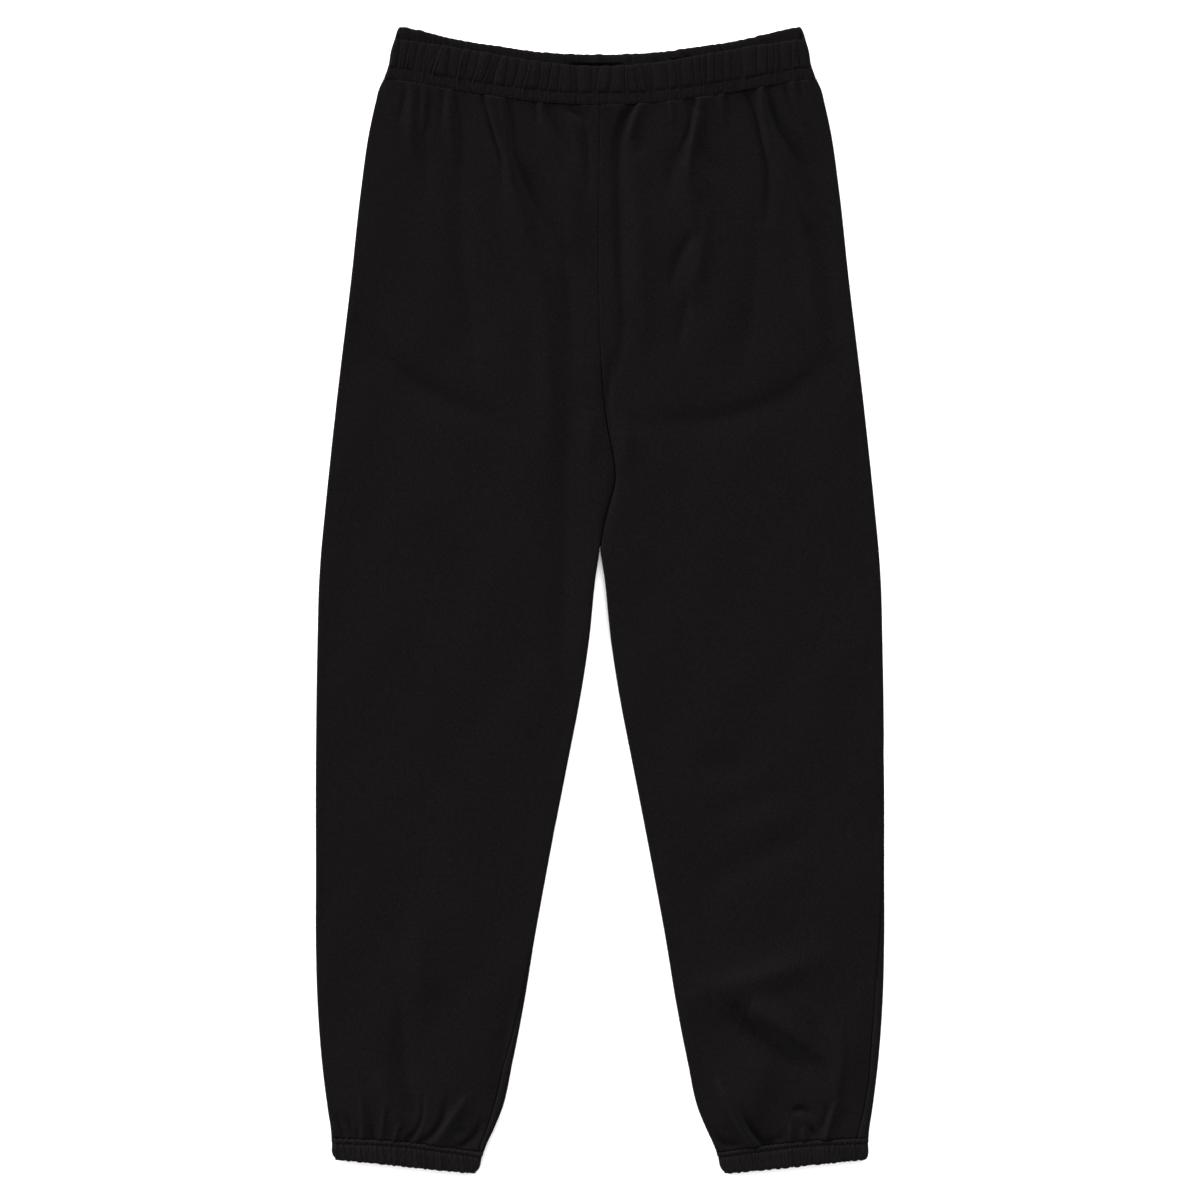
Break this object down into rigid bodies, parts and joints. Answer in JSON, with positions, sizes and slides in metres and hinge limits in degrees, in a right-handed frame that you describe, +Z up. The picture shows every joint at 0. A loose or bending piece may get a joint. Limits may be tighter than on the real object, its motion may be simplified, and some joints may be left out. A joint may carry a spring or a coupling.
{
  "type": "jogger sweatpants",
  "caption": "Fleece jogger sweatpants laid flat, front up, with a gathered elastic waistband, tapered legs and gathered elastic cuffs.",
  "frame": {"origin": "centre of the garment's outline as it lies flat, on the surface under it", "axes": "+X to the wearer's left, across the garment; +Y towards the waist; +Z up from the surface, out of the front"},
  "size_m": [0.5152, 1.0387, 0.0117],
  "materials": {
    "fleece": "matt brushed fleece, black",
    "waistband_fleece": "matt brushed fleece gathered over elastic, black",
    "cuff_fleece": "matt brushed fleece gathered over elastic, black"
  },
  "bodies": {
    "root": {"front_panel_left": "fleece", "front_panel_right": "fleece", "back_panel_left": "fleece", "back_panel_right": "fleece", "waistband": "waistband_fleece", "cuff_left": "cuff_fleece", "cuff_right": "cuff_fleece"}
  },
  "joints": []
}
